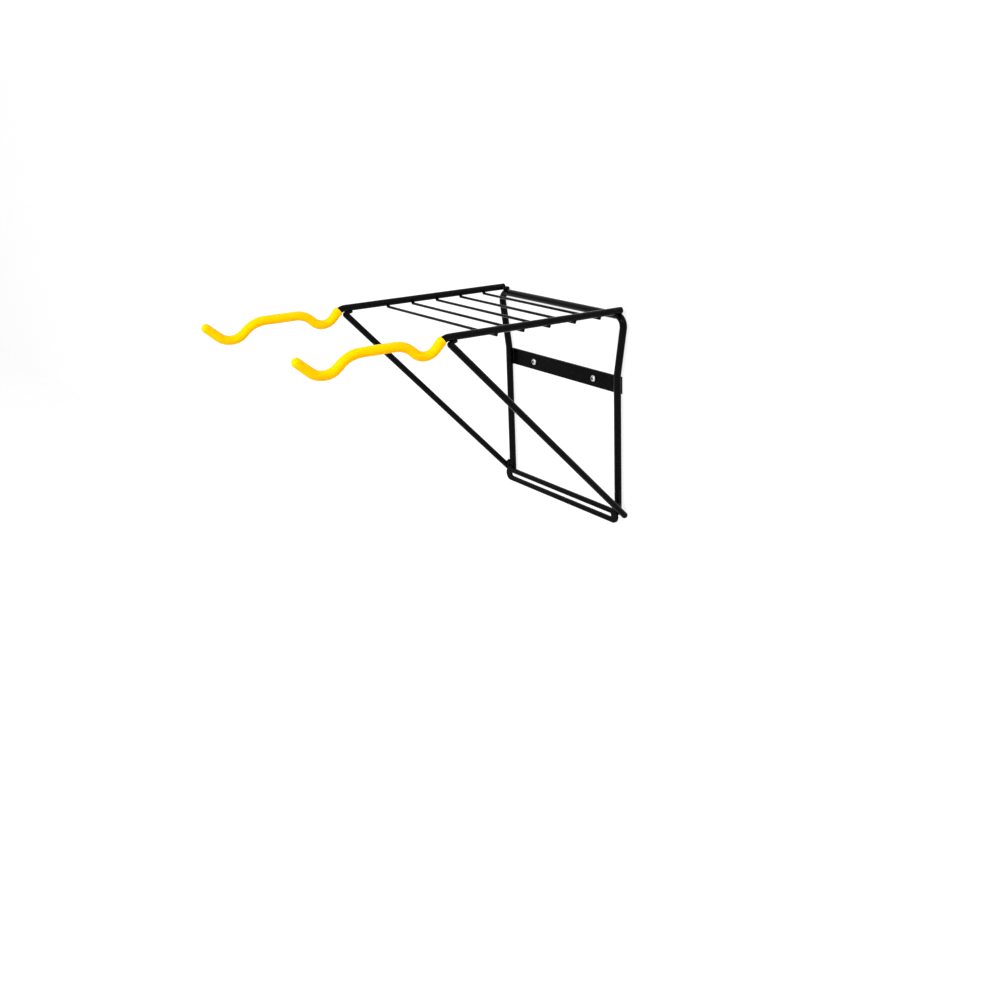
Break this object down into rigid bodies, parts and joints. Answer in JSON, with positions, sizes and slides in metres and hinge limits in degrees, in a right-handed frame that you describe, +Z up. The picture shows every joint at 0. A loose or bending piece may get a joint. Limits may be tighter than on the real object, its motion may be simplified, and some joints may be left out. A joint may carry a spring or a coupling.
{
  "type": "wall-mounted bike rack",
  "caption": "Wall-mounted bicycle rack of welded black rod, with yellow coated cradles on its arms, sloping braces and a wire shelf.",
  "frame": {"origin": "middle of the upper wall plate's back face, on the wall", "axes": "+Y into the wall, +Z up, +X along the wall; the arms stand out towards -Y"},
  "size_m": [0.3032, 0.4859, 0.3061],
  "materials": {
    "painted_rod": "gloss black",
    "painted_bar": "satin black",
    "yellow_vinyl": "smooth dip coating",
    "zinc_screw": "bright zinc"
  },
  "bodies": {
    "root": {"hoop_frame": "painted_rod", "left_arm": "painted_rod", "right_arm": "painted_rod", "left_brace": "painted_rod", "right_brace": "painted_rod", "shelf_wire_1": "painted_rod", "shelf_wire_2": "painted_rod", "shelf_wire_3": "painted_rod", "shelf_wire_4": "painted_rod", "shelf_wire_5": "painted_rod", "left_arm_weld": "painted_rod", "left_brace_top_weld": "painted_rod", "left_brace_foot_weld": "painted_rod", "left_plate_weld": "painted_rod", "left_bar_weld": "painted_rod", "right_arm_weld": "painted_rod", "right_brace_top_weld": "painted_rod", "right_brace_foot_weld": "painted_rod", "right_plate_weld": "painted_rod", "right_bar_weld": "painted_rod", "upper_wall_plate": "painted_bar", "lower_slotted_bar": "painted_bar", "left_arm_coating": "yellow_vinyl", "right_arm_coating": "yellow_vinyl", "left_wall_screw": "zinc_screw", "right_wall_screw": "zinc_screw"}
  },
  "joints": []
}
